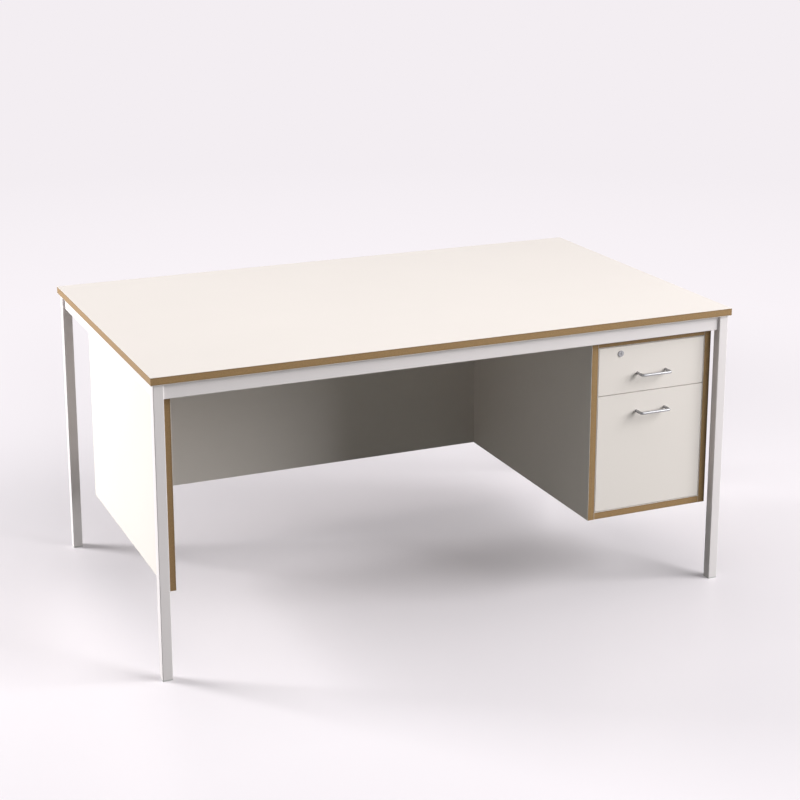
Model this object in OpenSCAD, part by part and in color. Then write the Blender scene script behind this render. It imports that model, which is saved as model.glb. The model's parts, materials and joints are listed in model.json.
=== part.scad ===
// Teacher desk: a welded tube frame carries a laminated desktop, an end panel,
// a modesty panel and a hung pedestal with a box drawer above a file drawer.
// Millimetres, +Z up. The origin is on the floor, in the middle of the
// footprint. The user sits on the -Y side and the pedestal is on the +X side.

/* [Desk] */
// Width of the desktop
desk_w = 1524; // [1400:1:1800]
// Depth of the desktop
desk_d = 914; // [850:1:1000]
// Height of the work surface above the floor
desk_h = 737; // [710:1:760]

/* [Boards] */
// Thickness of the fibreboard core in every main board
core_t = 17.4; // [16:0.1:19]
// Thickness of each laminate skin
skin_t = 0.7; // [0.5:0.1:1]
// Height of the lower edge of the panels and the pedestal
panel_bottom = 210; // [200:1:220]
// Distance from the desktop's front edge to the modesty panel
modesty_setback = 698; // [680:1:720]

/* [Frame] */
// Outside width of the square leg tube
leg_w = 25; // [25:1:30]
// Inset of the legs from the desktop's edges
leg_inset = 6; // [3:1:10]
// Height of the rail tube
rail_h = 38; // [36:1:42]
// Width of the rail tube
rail_w = 19; // [19:1:20]
// Height of the tubes that the pedestal hangs from
hanger_h = 35; // [34:1:36]
// Wall of every tube
wall = 1.5; // [1.2:0.1:2]
// Outside corner radius of every tube
tube_r = 2; // [1.5:0.1:2.5]
// Height of a glide under its leg
glide_h = 3; // [2:1:6]

/* [Pedestal] */
// Outside width of the pedestal
ped_w = 348; // [340:1:380]
// Gap between the pedestal and the plane of the right legs
ped_gap = 8; // [4:1:16]
// Gap round each drawer front
front_gap = 2; // [1.5:0.5:3]
// Height of the file drawer's front
file_front_h = 306; // [300:1:312]
// Thickness of the edge band on the drawer fronts
band_t = 1; // [0.5:0.5:2]

/* [Drawers] */
// Thickness of the drawer sides and backs
side_t = 12; // [10:1:13]
// Length of the drawer boxes behind their fronts
box_len = 560; // [555:1:580]
// Length of the ball-bearing slides, closed
slide_len = 550; // [500:1:550]
// Distance between the two hanging-file bars
file_bar_pitch = 310; // [305:1:320]

/* [Handles and lock] */
// Distance between the two posts of a handle
handle_span = 83; // [76:1:96]
// Distance from a drawer front to the handle bar's centre line
handle_reach = 27.5; // [24:0.5:28]
// Diameter of the handle bar
handle_d = 7; // [6:0.5:8]
// Distance from the gap between the drawers to each handle
handle_offset = 50; // [40:1:60]
// Distance from the box drawer front's left edge to the lock
lock_from_left = 62; // [50:1:80]
// Distance from the box drawer front's top edge to the lock
lock_from_top = 18.5; // [18:0.5:19]

/* [Hidden] */
$fn = 64;

// Colours
laminate_c = [0.96, 0.94, 0.92];
fibre_c = [0.68, 0.52, 0.34];
paint_c = [0.90, 0.88, 0.88];
zinc_c = [0.72, 0.73, 0.74];
nickel_c = [0.70, 0.70, 0.72];
melamine_c = [0.92, 0.91, 0.89];
plastic_c = [0.78, 0.78, 0.77];
beech_c = [0.82, 0.66, 0.46];

// Main planes
board_t = core_t + 2 * skin_t;
front_y = -desk_d / 2;
left_x = -desk_w / 2;
under_z = desk_h - board_t;          // underside of the desktop
leg_x = desk_w / 2 - leg_inset;      // outer faces of the legs
leg_y = desk_d / 2 - leg_inset;
frame_x = leg_x - leg_w;             // inner faces of the legs and rails
frame_y = leg_y - leg_w;
rail_z = under_z - rail_h;           // underside of the rails
fit = 0.5;                           // assembly gap behind the front rail

// End panel and modesty panel
spacer_t = 3;
end_x = -frame_x + spacer_t;         // outer face of the end panel
panel_y = -frame_y + fit;            // front edges of end panel and pedestal
modesty_y = front_y + modesty_setback;
modesty_rear = modesty_y + board_t;
panel_h = under_z - panel_bottom;

// Pedestal carcass
ped_x1 = frame_x - ped_gap;
ped_x0 = ped_x1 - ped_w;
ped_cx = ped_x0 + ped_w / 2;
ped_top = under_z - hanger_h;
ped_d = modesty_y - panel_y;
bay_w = ped_w - 2 * board_t;         // clear width inside
bay_x = ped_x0 + board_t;
bay_z0 = panel_bottom + board_t;     // clear height inside, from bay_z0
bay_z1 = ped_top - board_t;          // to bay_z1
back_t = 9;
hanger_inset = 28;                   // from the pedestal's sides
notch_gap = 1;

// Drawer fronts
front_w = bay_w - 2 * front_gap;
front_x = bay_x + front_gap;
file_front_z = bay_z0 + front_gap;
split_z = file_front_z + file_front_h + front_gap / 2;
box_front_z = split_z + front_gap / 2;
box_front_h = bay_z1 - front_gap - box_front_z;

// Drawer boxes and slides
slide_space = 12.7;                  // room for a slide beside a drawer
drawer_w = bay_w - 2 * slide_space;
drawer_y = panel_y + board_t;        // rear face of the drawer fronts
box_z = box_front_z + 9;
box_side_h = box_front_h - 32;
box_slide_z = box_z + box_side_h / 2;
file_z = file_front_z + 11;
file_side_h = file_front_h - 46;
file_slide_z = file_z + 98;
slide_y = drawer_y + 3;
bottom_t = 6;
groove_t = bottom_t + 0.4;
groove_depth = 6;
groove_up = 10;                      // groove above a side's lower edge
cabinet_slide = [0, 45.6, 10];       // each member's stand-off from the face
middle_slide = [2.5, 35.2, 8.3];     // it is nearest, its height and its
drawer_slide = [0, 23.2, 7.8];       // flange
slide_wall = 1.2;

// Fasteners
dowel_d = 8;
dowel_in_side = 10;
dowel_in_shelf = 20;
dowel_y = [panel_y + 65, panel_y + 335, panel_y + 605];
bolt_d = 6;
bolt_len = 32;
bolt_y = [panel_y + 125, panel_y + 545];
screw_d = 4;
head_d = 8;
head_t = 2.2;
slack = 0.4;                         // extra diameter of a clearance hole
end_screw_d = 5;
end_screw_y = [-frame_y + 95, -frame_y + 345, -frame_y + 595];
end_screw_z = under_z - rail_h / 2;

// Handles
box_handle_z = split_z + handle_offset;
file_handle_z = split_z - handle_offset;

// Lock
lock_x = front_x + lock_from_left;
lock_z = box_front_z + box_front_h - lock_from_top;
lock_flange_d = 16;
lock_flange_t = 1.8;
lock_barrel_d = 13.6;
lock_bore_r = 5.25;
lock_plug_r = 5.17;
lock_rear_y = drawer_y + 7.7;        // rear end of the lock's barrel
cam_t = 2;
cam_len = 17;
strike_y = drawer_y + 4.5;
strike_drop = 11;

// Angle brackets: a place on the corner line, and a turn. In its own frame a
// bracket has its wall on the -X side and what it carries on the +Z side.
bracket_w = 20;
bracket_leg = 30;
bracket_t = 2;
bracket_hole = 18;
hanger_x = [ped_x0 + hanger_inset, ped_x1 - hanger_inset - rail_w];
high_z = under_z - rail_h / 2;
rail_bracket_x = [-520, -170, 180, ped_cx];
BRACKETS = concat(
    [for (x = rail_bracket_x) [[x, -frame_y, under_z], [0, 0, 90]]],
    [for (x = rail_bracket_x) [[x, frame_y, under_z], [0, 0, -90]]],
    [for (y = [-150, 330]) [[frame_x, y, under_z], [0, 0, 180]]],
    [for (y = [-250, 100]) [[end_x + board_t, y, under_z], [0, 0, 0]]],
    [for (x = [-350, 60]) [[x, modesty_y, under_z], [0, 0, -90]]],
    [[[end_x + board_t, modesty_y, high_z], [-90, 0, 0]]],
    [for (x = hanger_x) [[x, modesty_y, high_z], [90, 0, 180]]]
);

// Boards, given by lowest corner, size and the axis across their thickness
END_PANEL = [[end_x, panel_y, panel_bottom],
             [board_t, modesty_rear - panel_y, panel_h], 0];
MODESTY = [[end_x + board_t, modesty_y, panel_bottom],
           [ped_x1 - end_x - board_t, board_t, panel_h], 1];
DESKTOP = [[left_x, front_y, under_z], [desk_w, desk_d, board_t], 2];
PED_LEFT = [[ped_x0, panel_y, panel_bottom],
            [board_t, ped_d, ped_top - panel_bottom], 0];
PED_RIGHT = [[ped_x1 - board_t, panel_y, panel_bottom],
             [board_t, ped_d, ped_top - panel_bottom], 0];
PED_TOP = [[bay_x, panel_y, bay_z1], [bay_w, ped_d, board_t], 2];
PED_BOTTOM = [[bay_x, panel_y, panel_bottom], [bay_w, ped_d, board_t], 2];

// ---------------------------------------------------------------- helpers

function unit(n) = [for (i = [0:2]) i == n ? 1 : 0];

module board_core(b) {
    translate(b[0] + skin_t * unit(b[2]))
        cube(b[1] - 2 * skin_t * unit(b[2]));
}

module board_skin(b, far) {
    shift = far ? b[1][b[2]] - skin_t : 0;
    translate(b[0] + shift * unit(b[2]))
        cube([for (i = [0:2]) i == b[2] ? skin_t : b[1][i]]);
}

module board_skins(b) {
    board_skin(b, false);
    board_skin(b, true);
}

module round_rect(w, h, r) {
    translate([r, 0]) square([w - 2 * r, h]);
    translate([0, r]) square([w, h - 2 * r]);
    for (x = [r, w - r], y = [r, h - r])
        translate([x, y]) circle(r);
}

module tube_section(w, h) {
    difference() {
        round_rect(w, h, tube_r);
        translate([wall, wall])
            round_rect(w - 2 * wall, h - 2 * wall, tube_r / 2);
    }
}

// A rod along +X, +Y or +Z
module rod_x(d, len) { rotate([0, 90, 0]) cylinder(d = d, h = len); }
module rod_y(d, len) { rotate([-90, 0, 0]) cylinder(d = d, h = len); }
module rod_z(d, len) { cylinder(d = d, h = len); }

// Extrudes a section drawn in X and Z from y0 towards +Y
module along_y(y0, len) {
    translate([0, y0 + len, 0]) rotate([90, 0, 0])
        linear_extrude(len) children();
}

// Extrudes a section drawn in Y and Z from x0 towards +X
module along_x(x0, len) {
    translate([x0, 0, 0]) rotate([90, 0, 90])
        linear_extrude(len) children();
}

// ------------------------------------------------------------------ frame

module leg(sx, sy) {
    x = sx < 0 ? -leg_x : frame_x;
    y = sy < 0 ? -leg_y : frame_y;
    color(paint_c) translate([x, y, glide_h])
        linear_extrude(under_z - glide_h) tube_section(leg_w, leg_w);
}

module leg_front_left() { leg(-1, -1); }
module leg_front_right() { leg(1, -1); }
module leg_rear_left() { leg(-1, 1); }
module leg_rear_right() { leg(1, 1); }

module cross_rail(y) {
    along_x(-frame_x, 2 * frame_x)
        translate([y, rail_z]) tube_section(rail_w, rail_h);
}

module end_rail(x) {
    along_y(-frame_y, 2 * frame_y)
        translate([x, rail_z]) tube_section(rail_w, rail_h);
}

module front_rail() {
    color(paint_c) difference() {
        cross_rail(-frame_y - rail_w);
        bracket_holes();
    }
}

module rear_rail() {
    color(paint_c) difference() {
        cross_rail(frame_y);
        bracket_holes();
    }
}

module left_end_rail() {
    color(paint_c) difference() {
        end_rail(-frame_x - rail_w);
        end_screw_shanks(end_screw_d + slack);
    }
}

module right_end_rail() {
    color(paint_c) difference() {
        end_rail(frame_x);
        bracket_holes();
    }
}

module hanger_rails() {
    color(paint_c) difference() {
        for (x = hanger_x)
            along_y(-frame_y, 2 * frame_y)
                translate([x, ped_top]) tube_section(rail_w, hanger_h);
        bolt_shanks(bolt_d + slack);
        bracket_holes();
    }
}

module leg_glides() {
    inner = leg_w - 2 * wall - 0.4;
    plug_h = 18;
    color(plastic_c)
    for (sx = [-1, 1], sy = [-1, 1])
        translate([sx * (leg_x - leg_w / 2), sy * (leg_y - leg_w / 2), 0]) {
            translate([-leg_w / 2, -leg_w / 2, 0])
                linear_extrude(glide_h) round_rect(leg_w, leg_w, tube_r);
            translate([-inner / 2, -inner / 2, glide_h])
                linear_extrude(plug_h) round_rect(inner, inner, tube_r / 2);
        }
}

// ----------------------------------------------------------- angle brackets

module at_brackets() {
    for (b = BRACKETS)
        translate(b[0]) rotate(b[1]) children();
}

module bracket_screw_shanks(d, len) {
    translate([bracket_hole, 0, -bracket_t]) rod_z(d, len);
    translate([bracket_t - len, 0, -bracket_hole]) rod_x(d, len);
}

module bracket_holes() {
    at_brackets() bracket_screw_shanks(screw_d + slack, 17);
}

module angle_brackets() {
    color(zinc_c)
    at_brackets() difference() {
        translate([0, -bracket_w / 2, -bracket_leg])
            cube([bracket_leg, bracket_w, bracket_leg]);
        translate([bracket_t, -bracket_w, -bracket_leg - bracket_t])
            cube([bracket_leg, 2 * bracket_w, bracket_leg]);
        bracket_screw_shanks(screw_d + slack, 8);
    }
}

module bracket_screws() {
    color(zinc_c)
    at_brackets() {
        bracket_screw_shanks(screw_d, 16);
        translate([bracket_hole, 0, -bracket_t - head_t]) rod_z(head_d, head_t);
        translate([bracket_t, 0, -bracket_hole]) rod_x(head_d, head_t);
    }
}

// ---------------------------------------------------------------- desktop

module desktop_core() {
    color(fibre_c) difference() {
        board_core(DESKTOP);
        bracket_holes();
    }
}

module desktop_laminate() {
    color(laminate_c) board_skin(DESKTOP, true);
}

module desktop_backer() {
    color(laminate_c) difference() {
        board_skin(DESKTOP, false);
        bracket_holes();
    }
}

// -------------------------------------------------------------- end panel

// Driven from inside the desk, through the panel and into the rail's wall
module end_screw_shanks(d) {
    tip = 6;
    for (y = end_screw_y)
        translate([-frame_x - tip, y, end_screw_z])
            rod_x(d, tip + spacer_t + board_t);
}

module end_panel_core() {
    color(fibre_c) difference() {
        board_core(END_PANEL);
        bracket_holes();
        end_screw_shanks(end_screw_d + slack);
    }
}

module end_panel_laminates() {
    color(laminate_c) difference() {
        board_skins(END_PANEL);
        bracket_holes();
        end_screw_shanks(end_screw_d + slack);
    }
}

module end_panel_spacers() {
    color(plastic_c) difference() {
        for (y = end_screw_y)
            translate([-frame_x, y, end_screw_z]) rod_x(12, spacer_t);
        end_screw_shanks(end_screw_d + slack);
    }
}

module end_panel_screws() {
    color(zinc_c) {
        end_screw_shanks(end_screw_d);
        for (y = end_screw_y)
            translate([end_x + board_t, y, end_screw_z])
                rod_x(head_d + 1, head_t);
    }
}

// ---------------------------------------------------------- modesty panel

module hanger_notches() {
    for (x = hanger_x)
        translate([x - notch_gap, modesty_y - 1, ped_top - notch_gap])
            cube([rail_w + 2 * notch_gap, board_t + 2, hanger_h + 2]);
}

module modesty_core() {
    color(fibre_c) difference() {
        board_core(MODESTY);
        hanger_notches();
        bracket_holes();
    }
}

module modesty_laminates() {
    color(laminate_c) difference() {
        board_skins(MODESTY);
        hanger_notches();
        bracket_holes();
    }
}

// --------------------------------------------------------------- pedestal

// Dowels between the sides and the two shelves, or the bores for them
module dowel_set(d, extra) {
    len = dowel_in_side + dowel_in_shelf + 2 * extra;
    for (z = [panel_bottom + board_t / 2, ped_top - board_t / 2], y = dowel_y) {
        translate([bay_x - dowel_in_side - extra, y, z]) rod_x(d, len);
        translate([bay_x + bay_w - dowel_in_shelf - extra, y, z])
            rod_x(d, len);
    }
}

module dowel_bores() { dowel_set(dowel_d + 0.2, 0.5); }

module bolt_shanks(d) {
    for (x = hanger_x, y = bolt_y)
        translate([x + rail_w / 2, y, bay_z1]) rod_z(d, bolt_len);
}

module pedestal_left_core() {
    color(fibre_c) difference() {
        board_core(PED_LEFT);
        dowel_bores();
    }
}

module pedestal_left_laminates() {
    color(laminate_c) difference() {
        board_skins(PED_LEFT);
        dowel_bores();
    }
}

module pedestal_right_core() {
    color(fibre_c) difference() {
        board_core(PED_RIGHT);
        dowel_bores();
    }
}

module pedestal_right_laminates() {
    color(laminate_c) difference() {
        board_skins(PED_RIGHT);
        dowel_bores();
    }
}

module pedestal_top_core() {
    color(fibre_c) difference() {
        board_core(PED_TOP);
        dowel_bores();
        bolt_shanks(bolt_d + slack);
    }
}

module pedestal_bottom_core() {
    color(fibre_c) difference() {
        board_core(PED_BOTTOM);
        dowel_bores();
    }
}

module pedestal_shelf_laminates() {
    color(laminate_c) difference() {
        union() {
            board_skins(PED_TOP);
            board_skins(PED_BOTTOM);
        }
        bolt_shanks(bolt_d + slack);
    }
}

module pedestal_back() {
    color(melamine_c)
        translate([bay_x, modesty_y - back_t, bay_z0])
            cube([bay_w, back_t, bay_z1 - bay_z0]);
}

module pedestal_dowels() {
    color(beech_c) dowel_set(dowel_d, 0);
}

module pedestal_bolts() {
    bolt_head_t = 3.5;
    color(zinc_c) {
        bolt_shanks(bolt_d);
        for (x = hanger_x, y = bolt_y)
            translate([x + rail_w / 2, y, bay_z1 - bolt_head_t])
                rod_z(2 * bolt_d, bolt_head_t);
    }
}

module pedestal_nuts() {
    color(zinc_c) difference() {
        for (x = hanger_x, y = bolt_y)
            translate([x + rail_w / 2, y, ped_top + wall])
                cylinder(r = 5.8, h = 5, $fn = 6);
        bolt_shanks(bolt_d + 0.1);
    }
}

// A steel angle under the pedestal's top, which the lock's cam turns behind
module lock_strike() {
    strike_w = 28;
    strike_t = 1.5;
    flange = 20;
    color(zinc_c)
    translate([lock_x - strike_w / 2, strike_y, bay_z1 - strike_drop]) {
        cube([strike_w, strike_t, strike_drop]);
        translate([0, 0, strike_drop - strike_t])
            cube([strike_w, flange, strike_t]);
    }
}

// ----------------------------------------------------------------- slides

// One member: a channel that opens away from its web
module channel(offset, h, flange) {
    translate([offset, 0]) difference() {
        translate([0, -h / 2]) square([flange, h]);
        translate([slide_wall, slide_wall - h / 2])
            square([flange, h - 2 * slide_wall]);
    }
}

// Both hands of a member, whose web is on the carcass or on the drawer
module slide_members(m, z, on_drawer) {
    face = on_drawer ? drawer_w / 2 : bay_w / 2;
    for (side = [0, 1])
        translate([ped_cx, 0, z]) mirror([side, 0, 0])
            along_y(slide_y, slide_len)
                translate([-face, 0]) rotate(on_drawer ? 180 : 0)
                    channel(m[0], m[1], m[2]);
}

module box_slide_cabinet_members() {
    color(zinc_c) slide_members(cabinet_slide, box_slide_z, false);
}

module box_slide_middle_members() {
    color(zinc_c) slide_members(middle_slide, box_slide_z, false);
}

module box_slide_drawer_members() {
    color(zinc_c) slide_members(drawer_slide, box_slide_z, true);
}

module file_slide_cabinet_members() {
    color(zinc_c) slide_members(cabinet_slide, file_slide_z, false);
}

module file_slide_middle_members() {
    color(zinc_c) slide_members(middle_slide, file_slide_z, false);
}

module file_slide_drawer_members() {
    color(zinc_c) slide_members(drawer_slide, file_slide_z, true);
}

// ----------------------------------------------------------- drawer fronts

// The board inside the edge band of a front whose lower edge is at z
function front_board(z, h) =
    [[front_x + band_t, panel_y, z + band_t],
     [front_w - 2 * band_t, board_t, h - 2 * band_t], 1];

module handle_shanks(z, d) {
    for (side = [-1, 1])
        translate([ped_cx + side * handle_span / 2, panel_y - 10, z])
            rod_y(d, board_t + 10);
}

module lock_hole() {
    translate([lock_x, panel_y - 1, lock_z])
        rod_y(lock_barrel_d + slack, board_t + 2);
}

module edge_band(z, h) {
    color(laminate_c) along_y(panel_y, board_t) difference() {
        translate([front_x, z]) square([front_w, h]);
        translate([front_x + band_t, z + band_t])
            square([front_w - 2 * band_t, h - 2 * band_t]);
    }
}

module box_front_core() {
    color(fibre_c) difference() {
        board_core(front_board(box_front_z, box_front_h));
        handle_shanks(box_handle_z, screw_d + slack);
        lock_hole();
    }
}

module box_front_laminates() {
    color(laminate_c) difference() {
        board_skins(front_board(box_front_z, box_front_h));
        handle_shanks(box_handle_z, screw_d + slack);
        lock_hole();
    }
}

module box_front_edge_band() { edge_band(box_front_z, box_front_h); }

module file_front_core() {
    color(fibre_c) difference() {
        board_core(front_board(file_front_z, file_front_h));
        handle_shanks(file_handle_z, screw_d + slack);
    }
}

module file_front_laminates() {
    color(laminate_c) difference() {
        board_skins(front_board(file_front_z, file_front_h));
        handle_shanks(file_handle_z, screw_d + slack);
    }
}

module file_front_edge_band() { edge_band(file_front_z, file_front_h); }

// ------------------------------------------------------------ drawer boxes

module drawer_sides(z, h) {
    color(melamine_c)
    for (side = [0, 1])
        translate([ped_cx, 0, 0]) mirror([side, 0, 0])
            along_y(drawer_y, box_len) difference() {
                translate([-drawer_w / 2, z]) square([side_t, h]);
                translate([side_t - drawer_w / 2 - groove_depth, z + groove_up])
                    square([groove_depth + 1, groove_t]);
            }
}

module drawer_back(z, h) {
    low = groove_up + groove_t;
    color(melamine_c)
        translate([ped_cx - drawer_w / 2 + side_t,
                   drawer_y + box_len - side_t, z + low])
            cube([drawer_w - 2 * side_t, side_t, h - low]);
}

module drawer_bottom(z) {
    w = drawer_w - 2 * side_t + 2 * groove_depth - 1;
    color(melamine_c)
        translate([ped_cx - w / 2, drawer_y, z + groove_up + 0.2])
            cube([w, box_len, bottom_t]);
}

module box_drawer_sides() { drawer_sides(box_z, box_side_h); }
module box_drawer_back() { drawer_back(box_z, box_side_h); }
module box_drawer_bottom() { drawer_bottom(box_z); }
module file_drawer_sides() { drawer_sides(file_z, file_side_h); }
module file_drawer_back() { drawer_back(file_z, file_side_h); }
module file_drawer_bottom() { drawer_bottom(file_z); }

// Two bars across the file drawer, resting on the tops of its sides
module file_bars() {
    bar_t = 4;
    bar_h = 12;
    lip_t = 2;
    inside = drawer_w - 2 * side_t - 1;
    top = file_z + file_side_h;
    color(zinc_c)
    for (i = [0, 1])
        translate([ped_cx, drawer_y + 20 + i * file_bar_pitch, top]) {
            translate([-inside / 2, 0, -bar_h]) cube([inside, bar_t, bar_h]);
            translate([-drawer_w / 2 + 1, 0, 0])
                cube([drawer_w - 2, bar_t, lip_t]);
        }
}

// ---------------------------------------------------------------- handles

// A bent round bar on two posts, tapped at the back for its screws
module handle(z) {
    bend = 5;
    half = handle_span / 2;
    tap_depth = 14;
    color(nickel_c)
    translate([ped_cx, panel_y, z]) difference() {
        union() {
            for (side = [0, 1]) mirror([side, 0, 0]) {
                translate([-half, bend - handle_reach, 0])
                    rod_y(handle_d, handle_reach - bend);
                translate([bend - half, bend - handle_reach, 0])
                    rotate([0, 0, 180]) rotate_extrude(angle = 90)
                        translate([bend, 0]) circle(d = handle_d);
            }
            translate([bend - half, -handle_reach, 0])
                rod_x(handle_d, 2 * (half - bend));
        }
        for (x = [-half, half])
            translate([x, -tap_depth, 0]) rod_y(screw_d + 0.1, tap_depth + 1);
    }
}

module handle_screws(z) {
    color(zinc_c) {
        handle_shanks(z, screw_d);
        for (side = [-1, 1])
            translate([ped_cx + side * handle_span / 2, drawer_y, z])
                rod_y(head_d, head_t);
    }
}

module box_handle() { handle(box_handle_z); }
module box_handle_screws() { handle_screws(box_handle_z); }
module file_handle() { handle(file_handle_z); }
module file_handle_screws() { handle_screws(file_handle_z); }

// ------------------------------------------------------------------- lock

module lock_housing() {
    color(nickel_c) translate([lock_x, panel_y, lock_z]) difference() {
        union() {
            translate([0, -lock_flange_t, 0])
                rod_y(lock_flange_d, lock_flange_t);
            rod_y(lock_barrel_d, lock_rear_y - panel_y);
        }
        translate([0, -lock_flange_t - 1, 0])
            rod_y(2 * lock_bore_r, board_t + 20);
    }
}

module lock_nut() {
    nut_t = 3.2;
    color(zinc_c) translate([lock_x, drawer_y, lock_z]) difference() {
        rotate([-90, 0, 0]) cylinder(r = 10.5, h = nut_t, $fn = 6);
        translate([0, -1, 0]) rod_y(lock_barrel_d + 0.1, nut_t + 2);
    }
}

module lock_plug() {
    keyway = [1.4, 7, 6];
    plug_len = lock_rear_y + 0.5 - panel_y + lock_flange_t;
    color(nickel_c)
    translate([lock_x, panel_y - lock_flange_t, lock_z]) difference() {
        rod_y(2 * lock_plug_r, plug_len);
        translate([-keyway[0] / 2, -1, -keyway[2] / 2]) cube(keyway);
    }
}

// The cam points along +X when unlocked, and up when locked
module lock_cam() {
    cam_r = 5.5;
    cap_r = 3.6;
    color(zinc_c) translate([lock_x, lock_rear_y + 0.5, lock_z]) {
        rod_y(2 * cam_r, cam_t);
        translate([0, 0, -cam_r]) cube([cam_len, cam_t, 2 * cam_r]);
        translate([0, cam_t, 0]) rod_y(2 * cap_r, 2.4);
    }
}

// --------------------------------------------------------------- assembly

leg_front_left();
leg_front_right();
leg_rear_left();
leg_rear_right();
front_rail();
rear_rail();
left_end_rail();
right_end_rail();
hanger_rails();
leg_glides();
angle_brackets();
bracket_screws();
desktop_core();
desktop_laminate();
desktop_backer();
end_panel_core();
end_panel_laminates();
end_panel_spacers();
end_panel_screws();
modesty_core();
modesty_laminates();
pedestal_left_core();
pedestal_left_laminates();
pedestal_right_core();
pedestal_right_laminates();
pedestal_top_core();
pedestal_bottom_core();
pedestal_shelf_laminates();
pedestal_back();
pedestal_dowels();
pedestal_bolts();
pedestal_nuts();
lock_strike();
box_slide_cabinet_members();
box_slide_middle_members();
box_slide_drawer_members();
box_front_core();
box_front_laminates();
box_front_edge_band();
box_drawer_sides();
box_drawer_back();
box_drawer_bottom();
box_handle();
box_handle_screws();
lock_housing();
lock_nut();
lock_plug();
lock_cam();
file_slide_cabinet_members();
file_slide_middle_members();
file_slide_drawer_members();
file_front_core();
file_front_laminates();
file_front_edge_band();
file_drawer_sides();
file_drawer_back();
file_drawer_bottom();
file_handle();
file_handle_screws();
file_bars();
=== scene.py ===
# The looks of the teacher desk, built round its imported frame. Metres, +Z up.
import json
import math

import bpy
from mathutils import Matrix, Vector
from mathutils.geometry import delaunay_2d_cdt


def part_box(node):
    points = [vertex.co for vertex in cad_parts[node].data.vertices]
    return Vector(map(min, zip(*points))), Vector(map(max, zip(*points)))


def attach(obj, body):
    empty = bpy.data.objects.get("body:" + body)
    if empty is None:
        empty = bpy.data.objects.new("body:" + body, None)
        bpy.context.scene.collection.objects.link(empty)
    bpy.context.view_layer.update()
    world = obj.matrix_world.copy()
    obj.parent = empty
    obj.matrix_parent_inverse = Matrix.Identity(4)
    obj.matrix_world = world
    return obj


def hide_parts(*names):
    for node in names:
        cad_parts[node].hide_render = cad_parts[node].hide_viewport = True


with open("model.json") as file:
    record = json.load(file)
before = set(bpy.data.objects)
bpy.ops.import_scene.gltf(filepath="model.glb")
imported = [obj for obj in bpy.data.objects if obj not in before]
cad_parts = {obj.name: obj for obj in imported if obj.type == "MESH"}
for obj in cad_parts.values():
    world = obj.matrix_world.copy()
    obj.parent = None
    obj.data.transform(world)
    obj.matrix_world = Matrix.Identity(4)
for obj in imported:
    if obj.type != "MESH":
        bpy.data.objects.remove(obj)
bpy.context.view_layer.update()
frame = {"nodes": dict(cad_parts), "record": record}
NODES = frame["nodes"]
MM = 0.001

# ------------------------------------------------------------------- studio

CAMERA_PLACE = (-1.749, -4.110, 1.884)
CAMERA_DOWN, CAMERA_RIGHT = 13.85, 23.51   # degrees from level, and from straight at the front
SENSOR, LENS, LENS_SHIFT = 36, 79.53, -0.15

STUDIO = (0.93, 0.885, 0.92)     # white of the studio, as light that the camera sees
FLOOR = (0.83, 0.79, 0.822)      # the floor's paint where the lamps reach it
BOUNCE = (0.153, 0.159, 0.146)   # what that floor throws back at the desk
AMBIENT = 0.03                   # light from all round

# name: place, what it points at, side of its square, power in watts
LAMPS = {
    "key": ((-4.8, 3.1, 1.9), (0, 0, 0.5), 2.0, 440),
    "high_key": ((-3.2, 1.8, 2.8), (0, 0, 0.5), 1.8, 14),
    "fill": ((4.95, -4.15, 3.4), (0.2, 0, 0.5), 4.6, 605),
    "low_fill": ((-4.2, -1.6, 0.9), (0, -0.2, 0.4), 1.5, 12),
    "side_fill": ((3.6, -1.0, 1.8), (0.3, 0, 0.5), 2.0, 25),
    "top": ((0, -0.3, 3.4), (0, 0, 0), 3.0, 42),
}

# The floor is lit paint near the desk, with a tenth of a painted glow mixed in that lightens its
# shadows there. Further out it fades into a glow of the backdrop's tone, painted a little brighter
# near the desk than far off.
FLOOR_REACH = 40.0
FADE_START, FADE_END, LEAST_GLOW = 0.7, 3.1, 0.10
GLOW_SPAN = 10.0
NEAR_GLOW = (0.25, 1.03)   # share of the span, times the studio's white
FAR_GLOW = (0.60, 0.965)


def make_camera():
    camera = bpy.data.objects.new("camera", bpy.data.cameras.new("camera"))
    bpy.context.scene.collection.objects.link(camera)
    camera.location = CAMERA_PLACE
    pitch, yaw = math.radians(CAMERA_DOWN), math.radians(CAMERA_RIGHT)
    camera.rotation_euler = (math.pi / 2 - pitch, 0, -yaw)
    camera.data.sensor_width = SENSOR
    camera.data.lens = LENS
    camera.data.shift_y = LENS_SHIFT
    bpy.context.scene.camera = camera


def area_light(name, place, target, size, power):
    data = bpy.data.lights.new(name, "AREA")
    data.shape = "SQUARE"
    data.size = size
    data.energy = power
    light = bpy.data.objects.new(name, data)
    bpy.context.scene.collection.objects.link(light)
    light.location = place
    aim = Vector(target) - Vector(place)
    light.rotation_euler = aim.to_track_quat("-Z", "Y").to_euler()


def make_world():
    """Faint light from all round, and a plain pale backdrop for the camera."""
    world = bpy.data.worlds.new("studio")
    bpy.context.scene.world = world
    world.use_nodes = True
    tree = world.node_tree
    tree.nodes.clear()
    path = tree.nodes.new("ShaderNodeLightPath")
    mix = tree.nodes.new("ShaderNodeMixShader")
    out = tree.nodes.new("ShaderNodeOutputWorld")
    tree.links.new(path.outputs["Is Camera Ray"], mix.inputs[0])
    for socket, strength in ((mix.inputs[1], AMBIENT), (mix.inputs[2], 1.0)):
        background = tree.nodes.new("ShaderNodeBackground")
        background.inputs["Color"].default_value = (*STUDIO, 1)
        background.inputs["Strength"].default_value = strength
        tree.links.new(background.outputs[0], socket)
    tree.links.new(mix.outputs[0], out.inputs["Surface"])


# ----------------------------------------------------------- shader helpers

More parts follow.
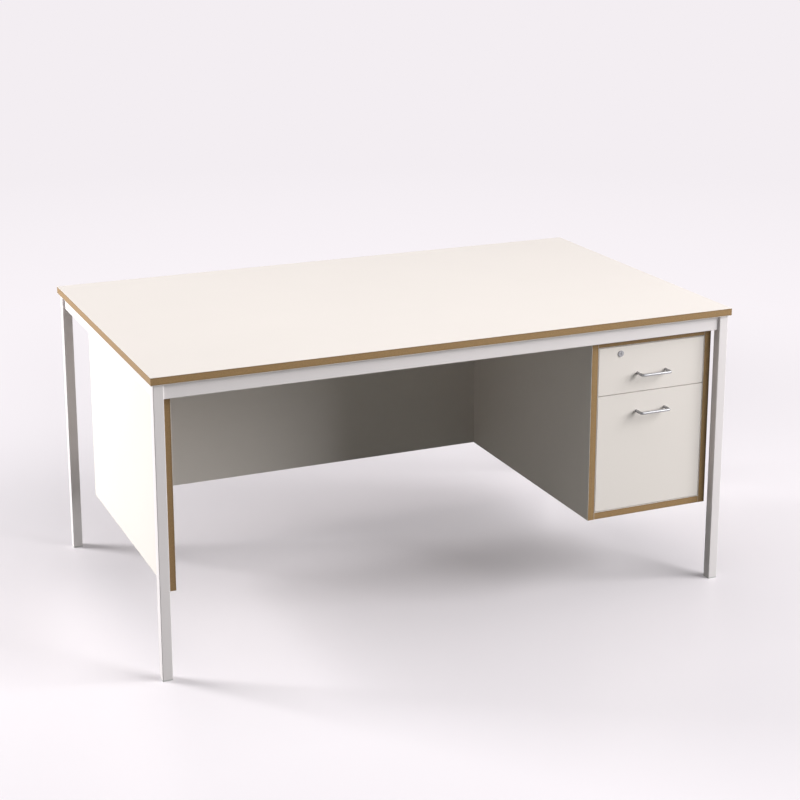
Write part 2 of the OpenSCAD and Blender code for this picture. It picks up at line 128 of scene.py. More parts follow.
class Finish:
    """One material, with short calls for the nodes that the finishes share."""

    def __init__(self, name, roughness, metallic=0.0, **sockets):
        self.material = bpy.data.materials.new(name)
        self.material.use_nodes = True
        self.tree = self.material.node_tree
        self.surface = self.tree.nodes["Principled BSDF"]
        self.set(Roughness=roughness, Metallic=metallic, **sockets)
        self.position = self.node("TexCoord").outputs["Object"]

    def node(self, kind, **settings):
        made = self.tree.nodes.new("ShaderNode" + kind)
        for name, value in settings.items():
            setattr(made, name, value)
        return made

    def feed(self, socket, value):
        """Links another node to a socket, or sets the socket to a number or a colour."""
        if isinstance(value, bpy.types.NodeSocket):
            self.tree.links.new(value, socket)
        elif socket.type == "RGBA":
            socket.default_value = (*value, 1)
        else:
            socket.default_value = value

    def set(self, **sockets):
        """Feeds the surface's own sockets, and gives back the material."""
        for name, value in sockets.items():
            self.feed(self.surface.inputs[name.replace("_", " ")], value)
        return self.material

    def stretched(self, scale):
        """The position, scaled differently along X, Y and Z."""
        made = self.node("Mapping")
        made.inputs["Scale"].default_value = scale
        self.feed(made.inputs["Vector"], self.position)
        return made.outputs[0]

    def noise(self, scale, detail=2.0, roughness=0.5, distortion=0.0, vector=None):
        made = self.node("TexNoise")
        self.feed(made.inputs["Vector"], vector or self.position)
        made.inputs["Scale"].default_value = scale
        made.inputs["Detail"].default_value = detail
        made.inputs["Roughness"].default_value = roughness
        made.inputs["Distortion"].default_value = distortion
        return made.outputs["Fac"]

    def grain(self, scales, detail=2.0, roughness=0.5):
        """Noise with its own scale along each of X, Y and Z: low along the grain."""
        return self.noise(1.0, detail, roughness, vector=self.stretched(scales))

    def cells(self, scale, vector):
        made = self.node("TexVoronoi")
        self.feed(made.inputs["Vector"], vector)
        made.inputs["Scale"].default_value = scale
        return made.outputs["Color"]

    def ramp(self, factor, *stops):
        """stops are (place, grey or colour)."""
        made = self.node("ValToRGB")
        elements = made.color_ramp.elements
        while len(elements) < len(stops):
            elements.new(0.5)
        for element, (place, value) in zip(elements, stops):
            element.position = place
            colour = value if isinstance(value, tuple) else (value,) * 3
            element.color = (*colour, 1)
        self.feed(made.inputs["Fac"], factor)
        return made.outputs["Color"]

    def spread(self, factor, low, high):
        """Noise about 0.5 to a number that runs from low to high."""
        made = self.node("MapRange")
        made.inputs["From Min"].default_value = 0.25
        made.inputs["From Max"].default_value = 0.75
        made.inputs["To Min"].default_value = low
        made.inputs["To Max"].default_value = high
        self.feed(made.inputs["Value"], factor)
        return made.outputs[0]

    def math(self, operation, a, b=0.0):
        made = self.node("Math", operation=operation)
        self.feed(made.inputs[0], a)
        self.feed(made.inputs[1], b)
        return made.outputs[0]

    def blend(self, factor, a, b, mode="MIX"):
        made = self.node("Mix", data_type="RGBA", blend_type=mode)
        self.feed(made.inputs["Factor"], factor)
        for socket, value in (("A", a), ("B", b)):
            found = [s for s in made.inputs if s.name == socket and s.type == "RGBA"][0]
            self.feed(found, value)
        return [s for s in made.outputs if s.type == "RGBA"][0]

    def times(self, colour, tones):
        return self.blend(1.0, colour, tones, "MULTIPLY")

    def drifting(self, colour, low, high, factor):
        """A colour that drifts with a noise between two shades of itself."""
        return self.blend(self.spread(factor, 0.0, 1.0), shade(colour, low), shade(colour, high))

    def bump(self, height, distance, under=None):
        made = self.node("Bump")
        made.inputs["Distance"].default_value = distance
        self.feed(made.inputs["Height"], height)
        if under:
            self.feed(made.inputs["Normal"], under)
        return made.outputs[0]


def shade(colour, factor):
    return tuple(c * factor for c in colour)


# ---------------------------------------------------------------- materials

LAMINATE = (0.81, 0.755, 0.715)
FIBRE = (0.320, 0.199, 0.088)
FIBRE_PAINTED_SHADE = {"end_panel_core": 0.70}   # boards whose raw edge is painted darker: painted shade for the shadow of the front leg and rail
PAINT = (0.80, 0.755, 0.76)
MELAMINE = (0.84, 0.82, 0.78)
ZINC = (0.64, 0.65, 0.67)
DARK_NICKEL, LIGHT_NICKEL = (0.34, 0.34, 0.355), (0.41, 0.41, 0.42)
PLASTIC = (0.60, 0.60, 0.59)
DARK_BEECH, LIGHT_BEECH = (0.52, 0.33, 0.18), (0.70, 0.50, 0.30)


def laminate():
    """Matte high-pressure laminate: a soft tone, a fine print and a suede feel."""
    f = Finish("laminate", roughness=0.64, Specular_IOR_Level=0.15)
    colour = f.drifting(LAMINATE, 0.985, 1.01, f.noise(2.2, detail=3.0, roughness=0.55))
    speck = f.ramp(f.noise(1700, roughness=0.6), (0.30, 0.975), (0.42, 1.0))
    wiping = f.stretched((1.0, 3.2, 1.0))
    wipe = f.noise(5.0, detail=4.0, roughness=0.6, distortion=0.6, vector=wiping)
    suede = f.noise(900, detail=3.0, roughness=0.6)
    return f.set(
        Base_Color=f.times(colour, speck),
        Roughness=f.spread(wipe, 0.60, 0.68),
        Normal=f.bump(suede, 0.03 * MM),
    )


def fibreboard(node, axis):
    """The sawn edge of fibreboard: fibres along the board, harder and darker near its faces.
    axis is the one that the board is thin along."""
    low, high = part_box(node)
    thickness, middle = high[axis] - low[axis], (low[axis] + high[axis]) / 2
    # The end panel's edge is painted darker here: painted shade standing in for the shadow of the
    # front leg and rail
    fibre = shade(FIBRE, FIBRE_PAINTED_SHADE.get(node, 1.0))
    f = Finish("fibreboard_" + node, roughness=0.62, Specular_IOR_Level=0.3)
    along, across, finer = 240.0, 1300.0, 4.0
    scales = [across if i == axis else along for i in range(3)]
    streaks = f.grain(scales, detail=5.0, roughness=0.65)
    specks = f.grain([finer * scale for scale in scales], detail=3.0, roughness=0.7)
    split = f.node("SeparateXYZ")
    f.feed(split.inputs[0], f.position)
    offset = f.math("ABSOLUTE", f.math("SUBTRACT", split.outputs[axis], middle))
    nearness = f.math("DIVIDE", offset, thickness / 2)
    colour = f.ramp(
        streaks,
        (0.30, shade(fibre, 0.74)),
        (0.48, fibre),
        (0.70, shade(fibre, 1.22)),
    )
    colour = f.times(colour, f.ramp(specks, (0.32, 0.72), (0.46, 1.0), (0.72, 1.14)))
    colour = f.times(colour, f.ramp(nearness, (0.55, 1.0), (0.97, 0.78)))
    return f.set(
        Base_Color=colour,
        Roughness=f.spread(streaks, 0.55, 0.70),
        Normal=f.bump(specks, 0.08 * MM, under=f.bump(streaks, 0.10 * MM)),
    )


def frame_paint():
    """Satin powder coat, with its orange peel."""
    f = Finish("frame_paint", roughness=0.38, Specular_IOR_Level=0.5)
    peel = f.noise(520)
    fine = f.noise(2600, roughness=0.6)
    return f.set(
        Base_Color=f.drifting(PAINT, 0.98, 1.015, f.noise(6.0, detail=3.0)),
        Roughness=f.spread(f.noise(60, detail=3.0, roughness=0.6), 0.34, 0.42),
        Normal=f.bump(fine, 0.012 * MM, under=f.bump(peel, 0.06 * MM)),
    )


def edge_band():
    """Plastic edge band: the laminate's tone, a little smoother, milled lengthwise."""
    f = Finish("edge_band", roughness=0.40, Specular_IOR_Level=0.45)
    return f.set(
        Base_Color=f.drifting(LAMINATE, 0.97, 1.0, f.noise(30.0, detail=3.0)),
        Roughness=f.spread(f.noise(80, detail=3.0, roughness=0.6), 0.36, 0.44),
        Normal=f.bump(f.grain((1400, 60, 1400)), 0.02 * MM),
    )


def melamine_board():
    """White melamine paper on board, with its pressed pearl texture."""
    f = Finish("melamine_board", roughness=0.48, Specular_IOR_Level=0.4)
    fleck = f.ramp(f.noise(420, detail=3.0, roughness=0.6), (0.28, 0.96), (0.45, 1.0))
    return f.set(
        Base_Color=f.times(f.drifting(MELAMINE, 0.98, 1.01, f.noise(3.0, detail=3.0)), fleck),
        Roughness=f.spread(f.noise(25, detail=4.0, roughness=0.6), 0.42, 0.54),
        Normal=f.bump(f.noise(700), 0.05 * MM),
    )


def zinc_steel():
    """Rolled steel under bright zinc: faint spangle and rolling lines."""
    f = Finish("zinc_steel", roughness=0.34, metallic=1.0)
    spangle = f.cells(130, f.stretched((1.0, 0.6, 1.0)))
    return f.set(
        Base_Color=f.blend(0.10, ZINC, spangle, "SOFT_LIGHT"),
        Roughness=f.spread(f.noise(90, detail=4.0, roughness=0.6), 0.27, 0.42),
        Normal=f.bump(f.grain((900, 25, 900), detail=3.0, roughness=0.6), 0.02 * MM),
    )


def satin_nickel():
    """Nickel plate over a brushed bar."""
    f = Finish("satin_nickel", roughness=0.46, metallic=1.0)
    brush = f.grain((55, 1500, 1500), detail=4.0, roughness=0.65)
    return f.set(
        Base_Color=f.ramp(brush, (0.30, DARK_NICKEL), (0.70, LIGHT_NICKEL)),
        Roughness=f.spread(brush, 0.41, 0.52),
        Normal=f.bump(brush, 0.015 * MM),
    )


def glide_plastic():
    """Moulded polyethylene, with spark-eroded grain and a little dust."""
    f = Finish("glide_plastic", roughness=0.55, Specular_IOR_Level=0.4)
    dust = f.ramp(f.noise(220, detail=4.0, roughness=0.6), (0.35, 0.88), (0.60, 1.0))
    return f.set(
        Base_Color=f.times(PLASTIC, dust),
        Roughness=f.spread(f.noise(300, detail=3.0, roughness=0.6), 0.48, 0.62),
        Normal=f.bump(f.noise(1800), 0.04 * MM),
    )


def dowel_beech():
    """Beech: short dark flecks along a pale, pinkish grain."""
    f = Finish("dowel_beech", roughness=0.6, Specular_IOR_Level=0.3)
    grain = f.grain((60, 900, 900), detail=4.0, roughness=0.6)
    return f.set(
        Base_Color=f.ramp(grain, (0.30, DARK_BEECH), (0.65, LIGHT_BEECH)),
        Roughness=f.spread(grain, 0.52, 0.68),
        Normal=f.bump(grain, 0.08 * MM),
    )


# ------------------------------------------------- finishes of the CAD nodes

# The axis that each raw board is thin along
FIBRE_AXES = {
    "desktop_core": 2, "end_panel_core": 0, "modesty_core": 1,
    "pedestal_left_core": 0, "pedestal_right_core": 0,
    "pedestal_top_core": 2, "pedestal_bottom_core": 2,
    "box_front_core": 1, "file_front_core": 1,
}
# How far the sharp edges of each material are rounded
EASE = {
    "laminate": 0.25 * MM, "edge_band": 0.25 * MM, "fibreboard": 0.15 * MM,
    "melamine_board": 0.5 * MM, "frame_paint": 0.3 * MM, "zinc_steel": 0.25 * MM,
    "satin_nickel": 0.3 * MM, "glide_plastic": 0.8 * MM, "dowel_beech": 0.8 * MM,
}
WELD_GAP = 0.002 * MM              # corners nearer than this become one
FLAT_ANGLE = math.radians(0.6)     # faces nearer to one plane than this become one
SHARP_ANGLE = math.radians(40)     # sharper edges are eased
SMOOTH_ANGLE = math.radians(38)    # blunter edges are shaded smooth
FACE_WEIGHT = 80                   # how far the large faces set the shading of the small ones


def smooth_by_angle():
    """A node group that drops imported normals and smooths all but the sharp edges."""
    found = bpy.data.node_groups.get("smooth_by_angle")
    if found:
        return found
    group = bpy.data.node_groups.new("smooth_by_angle", "GeometryNodeTree")
    group.interface.new_socket("Geometry", in_out="INPUT", socket_type="NodeSocketGeometry")
    group.interface.new_socket("Geometry", in_out="OUTPUT", socket_type="NodeSocketGeometry")
    make, link = group.nodes.new, group.links.new
    start, end = make("NodeGroupInput"), make("NodeGroupOutput")
    drop = make("GeometryNodeRemoveAttribute")
    drop.inputs["Name"].default_value = "custom_normal"
    faces = make("GeometryNodeSetShadeSmooth")
    faces.domain = "FACE"
    edges = make("GeometryNodeSetShadeSmooth")
    edges.domain = "EDGE"
    angle = make("GeometryNodeInputMeshEdgeAngle")
    compare = make("FunctionNodeCompare")
    compare.operation = "LESS_EQUAL"
    compare.inputs[1].default_value = SMOOTH_ANGLE
    link(start.outputs[0], drop.inputs[0])
    link(drop.outputs[0], faces.inputs[0])
    link(faces.outputs[0], edges.inputs[0])
    link(angle.outputs["Unsigned Angle"], compare.inputs[0])
    link(compare.outputs[0], edges.inputs["Shade Smooth"])
    link(edges.outputs[0], end.inputs[0])
    return group


def smoothed(obj):
    smooth = obj.modifiers.new("smooth", "NODES")
    smooth.node_group = smooth_by_angle()


def bevelled(obj, width, segments, angle):
    """Rounds the edges of an object that are sharper than angle."""
    bevel = obj.modifiers.new("ease", "BEVEL")
    bevel.width = width
    bevel.segments = segments
    bevel.limit_method = "ANGLE"
    bevel.angle_limit = angle


def eased(obj, width):
    """Rounds a CAD node's sharp edges a little, and smooths its curved faces."""
    obj.modifiers.new("weld", "WELD").merge_threshold = WELD_GAP
    flat = obj.modifiers.new("flat", "DECIMATE")
    flat.decimate_type = "DISSOLVE"
    flat.angle_limit = FLAT_ANGLE
    bevelled(obj, width, 2, SHARP_ANGLE)
    smoothed(obj)
    weighted = obj.modifiers.new("weighted", "WEIGHTED_NORMAL")
    weighted.keep_sharp = True
    weighted.weight = FACE_WEIGHT


def paint(obj, material):
    obj.data.materials.clear()
    obj.data.materials.append(material)


def finish_cad_nodes():
    """Gives each CAD node its material and eased edges, and gives back the materials."""
    made = {
        "laminate": laminate(), "frame_paint": frame_paint(), "edge_band": edge_band(),
        "melamine_board": melamine_board(), "zinc_steel": zinc_steel(),
        "satin_nickel": satin_nickel(), "glide_plastic": glide_plastic(),
        "dowel_beech": dowel_beech(),
    }
    for part in frame["record"]["subparts"]:
        name, slot = part["node"], part["material_slot"]
        material = fibreboard(name, FIBRE_AXES[name]) if slot == "fibreboard" else made[slot]
        paint(NODES[name], material)
        eased(NODES[name], EASE[slot])
    return made


# ------------------------------------------------------------ mesh builders

def piece(name, points, faces, material, body, slot, corner_uvs=None):
    """A mesh object in the finish and on the body that it is given."""
    mesh = bpy.data.meshes.new(name)
    mesh.from_pydata(points, [], faces)
    if corner_uvs:
        layer = mesh.uv_layers.new(name="UVMap")
        for loop, uv in zip(layer.data, corner_uvs):
            loop.uv = uv
    obj = bpy.data.objects.new(name, mesh)
    bpy.context.scene.collection.objects.link(obj)
    paint(obj, material)
    smoothed(obj)
    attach(obj, body)
    return obj


def joined(parts):
    """One list of points and one of faces from several."""
    points, faces = [], []
    for more_points, more_faces in parts:
        start = len(points)
        points += more_points
        faces += [tuple(start + i for i in face) for face in more_faces]
    return points, faces


def circle(radius, sides):
    turns = [2 * math.pi * k / sides for k in range(sides)]
    return [(radius * math.cos(turn), radius * math.sin(turn)) for turn in turns]


def skin(rings, count):
    """Faces between rings of count points each, the rings following one another."""
    faces = []
    for i in range(rings - 1):
        for k in range(count):
            n = (k + 1) % count
            faces.append((i * count + k, i * count + n, (i + 1) * count + n, (i + 1) * count + k))
    return faces


def bent_strip(start, heading, steps, thickness):
    """Two edges of a strip of sheet metal that runs and bends as steps say:
    ("run", length) or ("bend", radius, degrees), radius to its centre line."""
    degrees_a_chord = 12
    x, y = start
    angle = math.radians(heading)
    centre = [(x, y, angle)]
    for step in steps:
        if step[0] == "run":
            x, y = x + step[1] * math.cos(angle), y + step[1] * math.sin(angle)
            centre.append((x, y, angle))
        else:
            radius, turn = step[1], math.radians(step[2])
            count = max(2, round(abs(step[2]) / degrees_a_chord))
            chord = 2 * radius * math.sin(abs(turn) / count / 2)
            for _ in range(count):
                angle += turn / count / 2
                x, y = x + chord * math.cos(angle), y + chord * math.sin(angle)
                angle += turn / count / 2
                centre.append((x, y, angle))
    half = thickness / 2
    left = [(x - half * math.sin(a), y + half * math.cos(a)) for x, y, a in centre]
    right = [(x + half * math.sin(a), y - half * math.cos(a)) for x, y, a in centre]
    return left, right


def extruded_strip(left, right, place, low, high):
    """Points and faces of a strip's profile pushed from low to high along Y.
    place turns a profile point and a length into a point in the frame."""
    outline = left + right[::-1]
    count = len(outline)
    points = [place(a, h, y) for y in (low, high) for a, h in outline]
    faces = skin(2, count)
    last = count - 1
    for i in range(len(left) - 1):
        cap = (i, last - i, last - i - 1, i + 1)
        faces += [cap, tuple(count + j for j in cap[::-1])]
    return points, faces


# ------------------------------------------------------------------ handles

HANDLE_BEND = 5 * MM         # radius of its two bends, to the bar's middle
HANDLE_CHAMFER = 0.4 * MM    # on the bar's two ends


def handle(name, node, body, material):
    """A round bar bent into a D, which replaces its plainer CAD node."""
    low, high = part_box(node)
    radius = (high.z - low.z) / 2
    bend, chamfer = HANDLE_BEND, HANDLE_CHAMFER
    sides, bend_steps = 40, 10
    middle = (low.x + high.x) / 2
    half = (high.x - low.x) / 2 - radius
    bar_y = low.y + radius
    side_path = [(half, high.y), (half, high.y - chamfer), (half, bar_y + bend)]
    for i in range(1, bend_steps + 1):
        a = math.radians(90) * i / bend_steps
        side_path.append((half - bend + bend * math.cos(a), bar_y + bend - bend * math.sin(a)))
    path = [(middle - x, y) for x, y in side_path] + [(middle + x, y) for x, y in side_path[::-1]]
    last = len(path) - 1
    points, along = [], [0.0]
    for i, (x, y) in enumerate(path):
        before, after = path[max(i - 1, 0)], path[min(i + 1, last)]
        way = Vector((after[0] - before[0], after[1] - before[1])).normalized()
        if i:
            along.append(along[-1] + math.dist(path[i - 1], (x, y)))
        for out, up in circle(radius - chamfer if i in (0, last) else radius, sides):
            points.append((x + way.y * out, y - way.x * out, low.z + radius + up))
    faces, uvs = skin(len(path), sides), []
    around = 2 * math.pi * radius / sides
    for i in range(last):
        for k in range(sides):
            uvs += [(k * around, along[i]), ((k + 1) * around, along[i]),
                    ((k + 1) * around, along[i + 1]), (k * around, along[i + 1])]
    for ring, turn in ((0, -1), (last, 1)):
        faces.append(tuple(ring * sides + k for k in range(sides))[::turn])
        uvs += [(0, 0)] * sides
    made = piece(name, points, faces, material, body, "satin_nickel", uvs)
    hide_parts(node)


# ------------------------------------------------------------------- slides

SLIDE_WALL = 1.2 * MM
SLIDE_CORNER = 2.4 * MM    # radius of its bends, to the wall's middle
SLIDE_CURL = 0.9 * MM      # the same of its turned-in lips
# CAD member: name of its piece, width of its flanges, length of their lips
SLIDE_MEMBERS = {
    "cabinet": ("outer", 10 * MM, 2.0 * MM),
    "middle": ("middle", 8.3 * MM, 1.2 * MM),
    "drawer": ("inner", 7.8 * MM, 0),
}


def slide_members(slide, member, body, material):
    """Both hands of a rolled steel slide member, in place of the CAD channels."""
    label, flange, lip = SLIDE_MEMBERS[member]
    node = slide + member + "_members"
    low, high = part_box(node)
    wall, corner, curl = SLIDE_WALL, SLIDE_CORNER, SLIDE_CURL
    height, middle = high.z - low.z, (low.z + high.z) / 2
    reach = flange - wall - corner - (curl if lip else 0)
    hook = [("run", lip), ("bend", curl, 90)] if lip else []
    steps = hook + [("run", reach), ("bend", corner, 90), ("run", height - wall - 2 * corner),
                    ("bend", corner, 90), ("run", reach)] + hook[::-1]
    if lip:
        start, heading = (flange - wall / 2, height / 2 - wall / 2 - curl - lip), 90
    else:
        start, heading = (flange, height / 2 - wall / 2), 180
    left, right = bent_strip(start, heading, steps, wall)
    parts = []
    for face_x, way in ((low.x, 1), (high.x, -1)):
        # The drawer's members open outwards, the others inwards
        web_x, out = (face_x + way * flange, -way) if member == "drawer" else (face_x, way)
        parts.append(extruded_strip(
            left, right, lambda a, h, y: (web_x + out * a, y, middle + h), low.y, high.y))
    made = piece(slide + label + "_rails", *joined(parts), material, body, "zinc_steel")
    bevelled(made, 0.15 * MM, 1, math.radians(60))
    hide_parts(node)


# ------------------------------------------------------------------- screws

SAME_PLACE = 0.05 * MM     # corners of one solid meet within this
SAME_LEVEL = 0.01 * MM     # a screw's corners this near its head's ends are the head's
HEAD_EDGE = 0.98           # share of the head's radius past which a corner is on its edge
PLAN_EPSILON = 1e-7
SCREW_SIDES = 32

# Shares of a screw head's radius
HEAD_FOOT, HEAD_FLARE = 0.94, 0.06     # its slightly drawn-in foot
TOP_RINGS = (0.94, 0.84, 0.7)          # rings of points that round the top
RECESS_REACH, CROSS_ARM = 0.5, 0.24
# Shares of its height
HEAD_DOME, RECESS_DEPTH = 0.45, 0.75
# Shares of the recess's outline, the shank's radius and the shank's length
RECESS_FLOOR, TIP_END, LONGEST_TIP = 0.8, 0.25, 0.4

# The low screws in a drawer's slide members
SLIDE_SCREW_SHARES = (0.07, 0.46, 0.93)    # of the member's length, from its front
SLIDE_SCREW = {"head_r": 3.2 * MM, "head_h": 1.4 * MM, "shank_r": 1.7 * MM, "length": 9 * MM}


def islands(node):
    """The separate solids of a CAD node, each as its list of corners."""
    mesh = NODES[node].data
    places = {}
    link = list(range(len(mesh.vertices)))

    def root(i):
        while link[i] != i:
            link[i] = link[link[i]]
            i = link[i]
        return i

    for v in mesh.vertices:
        key = tuple(round(c / SAME_PLACE) for c in v.co)
        link[root(v.index)] = root(places.setdefault(key, v.index))
    for edge in mesh.edges:
        link[root(edge.vertices[0])] = root(edge.vertices[1])
    found = {}
    for v in mesh.vertices:
        found.setdefault(root(v.index), []).append(v.co.copy())
    return [found[k] for k in sorted(found)]


def cross_outline(size, arm):
    """A cross recess: four arms, from the middle out to size, each arm wide."""
    half = arm / 2
    quarter = [(half, half), (half, size), (-half, size)]
    return [(x * math.cos(t) - y * math.sin(t), x * math.sin(t) + y * math.cos(t))
            for t in (math.radians(90) * i for i in range(4)) for x, y in quarter]


def inside_outline(cell, flat, outline):
    """Whether a flat face's middle is inside an outline."""
    x = sum(flat[i].x for i in cell) / len(cell)
    y = sum(flat[i].y for i in cell) / len(cell)
    inside = False
    for (x1, y1), (x2, y2) in zip(outline, outline[1:] + outline[:1]):
        if (y1 > y) != (y2 > y) and x < (x2 - x1) * (y - y1) / (y2 - y1) + x1:
            inside = not inside
    return inside


def screw_mesh(head_r, head_h, shank_r, length, recess):
    """A screw along +Z: its head starts at z = 0, and its tip is at z = -length."""
    sides = SCREW_SIDES
    dome = HEAD_DOME * head_h

    def top(x, y):
        return head_h - dome * (math.hypot(x, y) / head_r) ** 2

    # The turned outside, from the tip up to the head's rim
    tip = min(3 * shank_r, LONGEST_TIP * length)
    profile = [(TIP_END * shank_r, -length), (shank_r, tip - length), (shank_r, 0),
               (HEAD_FOOT * head_r, 0), (head_r, HEAD_FLARE * head_r), (head_r, head_h - dome)]
    points = [(x, y, z) for r, z in profile for x, y in circle(r, sides)]
    faces = [tuple(range(sides))[::-1]] + skin(len(profile), sides)

    # The top, with the recess cut out of it
    plan = [Vector(p) for share in (1, *TOP_RINGS) for p in circle(share * head_r, sides)]
    first = len(plan)
    plan += [Vector(p) for p in recess]
    edges = [(i, (i + 1) % sides) for i in range(sides)]
    edges += [(first + i, first + (i + 1) % len(recess)) for i in range(len(recess))]
    flat, _, cells, origin, _, _ = delaunay_2d_cdt(plan, edges, [], 0, PLAN_EPSILON)
    hole = [i for i, source in enumerate(origin) if source and source[0] >= first]
    hole.sort(key=lambda i: min(origin[i]))
    start = len(points)
    points += [(p.x, p.y, top(p.x, p.y)) for p in flat]
    wanted = set(hole)
    for cell in cells:
        if not set(cell) <= wanted or not inside_outline(cell, flat, recess):
            faces.append(tuple(start + i for i in cell))

    # The recess, which narrows towards its floor
    floor = len(points)
    floor_z = head_h - RECESS_DEPTH * head_h
    points += [(RECESS_FLOOR * flat[i].x, RECESS_FLOOR * flat[i].y, floor_z) for i in hole]
    for k in range(len(hole)):
        n = (k + 1) % len(hole)
        faces.append((start + hole[n], start + hole[k], floor + k, floor + n))
    faces.append(tuple(floor + k for k in range(len(hole))))
    return points, faces


def placed_screw(seat, axis, way, head_r, head_h, shank_r, length, socket="cross"):
    """A screw whose head sits on seat and points up (way 1) or down (-1) an axis."""
    if socket == "hex":
        recess = circle(RECESS_REACH * head_r, 6)
    else:
        recess = cross_outline(RECESS_REACH * head_r, CROSS_ARM * head_r)
    points, faces = screw_mesh(head_r, head_h, shank_r, length, recess)
    u, v = [Vector([float(i == k) for i in range(3)]) for k in range(3) if k != axis]
    w = Vector([way * float(i == axis) for i in range(3)])
    if u.cross(v).dot(w) < 0:
        u, v = v, u
    origin = Vector(seat)
    return [tuple(origin + x * u + y * v + z * w) for x, y, z in points], faces


def screws(name, node, body, material, socket="cross"):
    """Screws with a recessed head, one for each plain one in the CAD node."""
    parts = []
    for corners in islands(node):
        low = [min(c[i] for c in corners) for i in range(3)]
        high = [max(c[i] for c in corners) for i in range(3)]
        axis = max(range(3), key=lambda i: high[i] - low[i])
        middle = [(low[i] + high[i]) / 2 for i in range(3)]
        away = [math.hypot(*(c[i] - middle[i] for i in range(3) if i != axis)) for c in corners]
        head_r = max(away)
        head = [c[axis] for c, r in zip(corners, away) if r > HEAD_EDGE * head_r]
        bottom, top = min(head), max(head)
        shank_r = max(r for c, r in zip(corners, away)
                      if not bottom - SAME_LEVEL < c[axis] < top + SAME_LEVEL)
        way = 1 if top > middle[axis] else -1
        middle[axis] = bottom if way > 0 else top
        length = high[axis] - low[axis] - (top - bottom)
        parts.append(placed_screw(middle, axis, way, head_r, top - bottom, shank_r, length, socket))
    made = piece(name, *joined(parts), material, body, "zinc_steel")
    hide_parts(node)


def slide_screws(name, node, body, material):
    """Low screws that hold a drawer's slide members to its sides."""
    low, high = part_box(node)
    height = (low.z + high.z) / 2
    _, flange, _ = SLIDE_MEMBERS["drawer"]
    web = flange - SLIDE_WALL
    parts = []
    for share in SLIDE_SCREW_SHARES:
        y = low.y + share * (high.y - low.y)
        for seat, way in ((low.x + web, -1), (high.x - web, 1)):
            parts.append(placed_screw((seat, y, height), 0, way, **SLIDE_SCREW))
    piece(name, *joined(parts), material, body, "zinc_steel")


# -------------------------------------------------------------------- welds

BEAD_SIZE = 2.2 * MM
BEAD_ARC = 6               # flats across a bead
RIPPLE = 1.1 * MM          # length of one ripple along it
RINGS_A_RIPPLE = 3
RIPPLE_SWELL = 0.07        # share that a ripple adds and takes
END_SIZE, END_GROWTH = 0.55, 6     # share of the size at its ends, and how fast it grows
BEAD_LEGS = 0.92           # how far it reaches along each face, as a share of its size
BEAD_FLATNESS = 0.20       # 0 is round, 1 is a straight fillet


def bead(start, end, a, b):
    """A weld bead in the corner between faces that lead off along a and b."""
    start, end, a, b = Vector(start), Vector(end), Vector(a), Vector(b)
    length = (end - start).length
    rings = max(8, round(length / RIPPLE * RINGS_A_RIPPLE)) + 1
    points = []
    for i in range(rings):
        t = i / (rings - 1)
        swell = BEAD_SIZE * (1 + RIPPLE_SWELL * math.sin(2 * math.pi * t * length / RIPPLE))
        swell *= min(1, END_SIZE + END_GROWTH * min(t, 1 - t))
        centre = start.lerp(end, t)
        points.append(tuple(centre))
        for k in range(BEAD_ARC + 1):
            turn = math.radians(90) * k / BEAD_ARC
            pa, pb = math.cos(turn), math.sin(turn)
            reach = swell * BEAD_LEGS * (1 - BEAD_FLATNESS + BEAD_FLATNESS / (pa + pb))
            points.append(tuple(centre + reach * (pa * a + pb * b)))
    count = BEAD_ARC + 2
    caps = [tuple(range(count))[::-1], tuple((rings - 1) * count + k for k in range(count))]
    return points, skin(rings, count) + caps


def frame_welds(material):
    """Beads where the four rails meet the legs, outside and underneath."""
    parts = []
    for rail, along, out_axis in (("front_rail", 0, 1), ("rear_rail", 0, 1),
                                  ("left_end_rail", 1, 0), ("right_end_rail", 1, 0)):
        low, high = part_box(rail)
        side = 1 if (low[out_axis] + high[out_axis]) > 0 else -1
        outer = high[out_axis] if side > 0 else low[out_axis]
        inner = low[out_axis] if side > 0 else high[out_axis]
        for end, way in ((low[along], 1), (high[along], -1)):
            lengthways = [way * float(i == along) for i in range(3)]
            outward = [side * float(i == out_axis) for i in range(3)]

            def at(out, z):
                place = [0.0, 0.0, z]
                place[along], place[out_axis] = end, out
                return place

            parts.append(bead(at(outer, low.z), at(outer, high.z), lengthways, outward))
            parts.append(bead(at(outer, low.z), at(inner, low.z), lengthways, (0, 0, -1)))
    piece("frame_welds", *joined(parts), material, "desk", "frame_paint")


# -------------------------------------------------------------------- floor

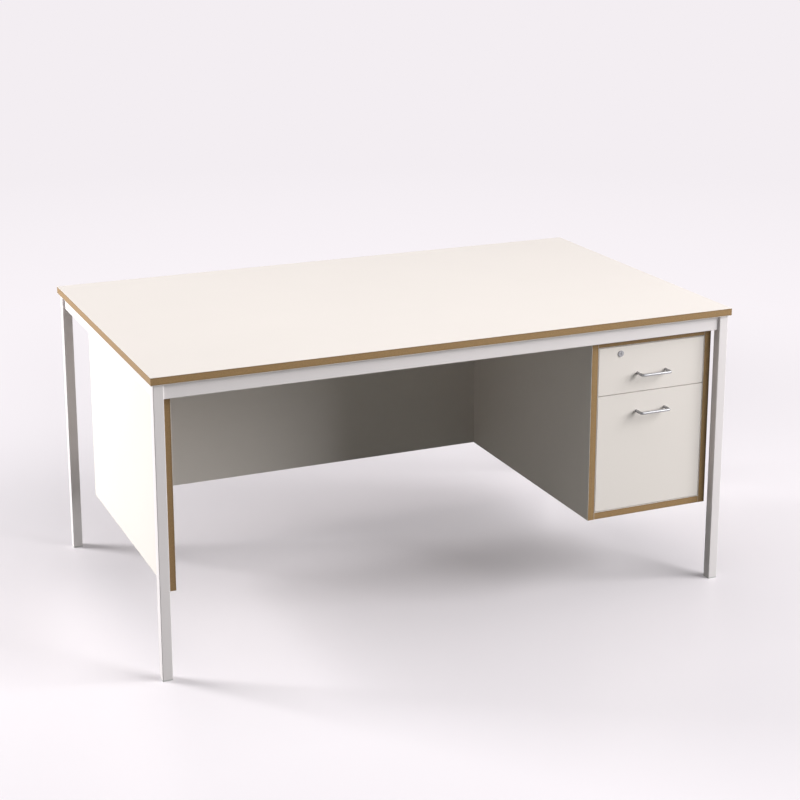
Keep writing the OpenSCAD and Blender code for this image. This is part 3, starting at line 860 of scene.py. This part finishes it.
def make_floor():
    """A pale floor that turns into the backdrop's tone far from the desk."""
    mesh = bpy.data.meshes.new("floor")
    corners = [(-1, -1), (1, -1), (1, 1), (-1, 1)]
    mesh.from_pydata([(FLOOR_REACH * x, FLOOR_REACH * y, 0) for x, y in corners], [], [(0, 1, 2, 3)])
    floor = bpy.data.objects.new("floor", mesh)
    bpy.context.scene.collection.objects.link(floor)
    f = Finish("floor", roughness=0.35, Specular_IOR_Level=0.25)
    f.set(Base_Color=FLOOR)
    distance = f.node("VectorMath", operation="LENGTH")
    f.feed(distance.inputs[0], f.position)
    away = f.node("MapRange")
    away.inputs["From Max"].default_value = GLOW_SPAN
    f.feed(away.inputs["Value"], distance.outputs["Value"])
    glow = f.node("Emission")
    stops = [(place, shade(STUDIO, tone)) for place, tone in (NEAR_GLOW, FAR_GLOW)]
    f.feed(glow.inputs["Color"], f.ramp(away.outputs[0], *stops))
    fade = f.node("MapRange", interpolation_type="SMOOTHSTEP")
    fade.inputs["From Min"].default_value = FADE_START
    fade.inputs["From Max"].default_value = FADE_END
    fade.inputs["To Min"].default_value = LEAST_GLOW
    f.feed(fade.inputs["Value"], distance.outputs["Value"])

    def mixed(factor, first, second):
        mix = f.node("MixShader")
        for socket, value in zip(mix.inputs, (factor, first.outputs[0], second.outputs[0])):
            f.feed(socket, value)
        return mix

    near_to_far = mixed(fade.outputs[0], f.surface, glow)
    # The floor throws less light back up than it shows, as a flagged studio floor does
    bounce = f.node("BsdfDiffuse")
    f.feed(bounce.inputs["Color"], BOUNCE)
    path = f.node("LightPath")
    seen = f.math("MAXIMUM", path.outputs["Is Camera Ray"], path.outputs["Is Glossy Ray"])
    shown = mixed(seen, bounce, near_to_far)
    f.feed(f.tree.nodes["Material Output"].inputs["Surface"], shown.outputs[0])
    mesh.materials.append(f.material)


# --------------------------------------------------------------------- make

make_camera()
make_floor()
make_world()
for name, settings in LAMPS.items():
    area_light(name, *settings)
finishes = finish_cad_nodes()
NICKEL, STEEL = finishes["satin_nickel"], finishes["zinc_steel"]

handle("box_pull", "box_handle", "box_drawer", NICKEL)
handle("file_pull", "file_handle", "file_drawer", NICKEL)

for drawer in ("box", "file"):
    slide, body = drawer + "_slide_", drawer + "_drawer"
    slide_members(slide, "cabinet", "desk", STEEL)
    slide_members(slide, "middle", slide + "middle", STEEL)
    slide_members(slide, "drawer", body, STEEL)
    slide_screws(slide + "screws", slide + "drawer_members", body, STEEL)
    screws(drawer + "_handle_pan_screws", drawer + "_handle_screws", body, STEEL)
screws("bracket_pan_screws", "bracket_screws", "desk", STEEL)
screws("end_panel_pan_screws", "end_panel_screws", "desk", STEEL)
screws("pedestal_socket_bolts", "pedestal_bolts", "desk", STEEL, socket="hex")
frame_welds(finishes["frame_paint"])

bpy.context.scene.view_settings.view_transform = "Standard"
